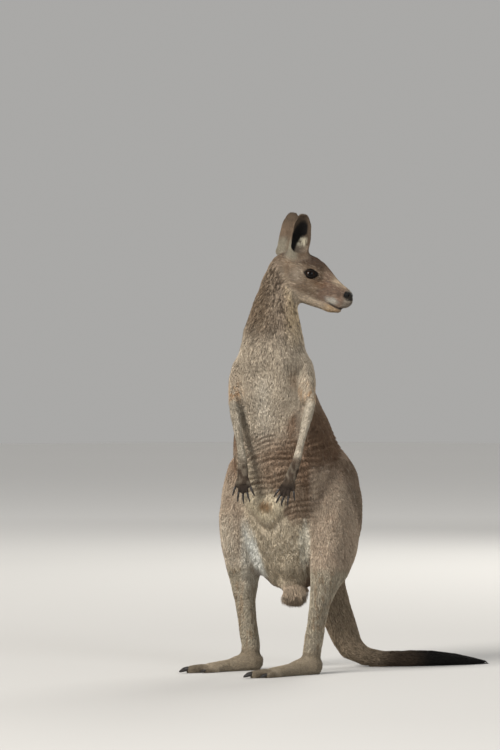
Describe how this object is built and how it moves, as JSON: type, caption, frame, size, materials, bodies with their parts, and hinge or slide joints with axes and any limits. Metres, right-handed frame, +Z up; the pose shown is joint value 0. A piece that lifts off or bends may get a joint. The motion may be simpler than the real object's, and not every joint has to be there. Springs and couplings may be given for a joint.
{
  "type": "kangaroo",
  "caption": "Life-size still model of a standing kangaroo, upright on its long hind feet and tail, forepaws hanging, head turned back over one shoulder.",
  "frame": {"origin": "on the floor under the middle of the whole animal's outline", "axes": "+Z up; the hind feet point roughly along -Y; the animal's left side is +X"},
  "size_m": [0.428, 0.8496, 1.2866],
  "materials": {
    "coat_back": "short matt fur, darker reddish brown",
    "coat_flank": "short matt fur, grizzled grey brown",
    "coat_pale": "short matt fur, pale buff grey",
    "coat_face": "very short matt fur, grey brown",
    "coat_paw": "very short dark brown fur",
    "coat_tail_tip": "near-black brown fur",
    "horn": "smooth dark horn with a soft sheen",
    "eye": "wet and glossy, very dark brown",
    "nose": "bare black skin, slightly moist"
  },
  "bodies": {
    "root": {"trunk": "coat_flank", "neck": "coat_flank", "scrotum": "coat_pale", "tail_root": "coat_flank", "tail_middle": "coat_back", "tail_end": "coat_tail_tip", "head": "coat_face", "lower_jaw": "coat_pale", "nose": "nose", "thigh_left": "coat_flank", "shank_left": "coat_pale", "foot_left": "coat_pale", "long_toe_left": "coat_paw", "outer_toe_left": "coat_paw", "grooming_toes_left": "coat_paw", "long_toe_claw_left": "horn", "outer_toe_claw_left": "horn", "grooming_claw_inner_left": "horn", "grooming_claw_outer_left": "horn", "upper_arm_left": "coat_flank", "forearm_left": "coat_pale", "hand_left": "coat_paw", "eye_left": "eye", "ear_left": "coat_back", "hand_claw_left_1": "horn", "hand_claw_left_2": "horn", "hand_claw_left_3": "horn", "hand_claw_left_4": "horn", "hand_claw_left_5": "horn", "thigh_right": "coat_flank", "shank_right": "coat_pale", "foot_right": "coat_pale", "long_toe_right": "coat_paw", "outer_toe_right": "coat_paw", "grooming_toes_right": "coat_paw", "long_toe_claw_right": "horn", "outer_toe_claw_right": "horn", "grooming_claw_inner_right": "horn", "grooming_claw_outer_right": "horn", "upper_arm_right": "coat_flank", "forearm_right": "coat_pale", "hand_right": "coat_paw", "eye_right": "eye", "ear_right": "coat_back", "hand_claw_right_1": "horn", "hand_claw_right_2": "horn", "hand_claw_right_3": "horn", "hand_claw_right_4": "horn", "hand_claw_right_5": "horn"}
  },
  "joints": []
}
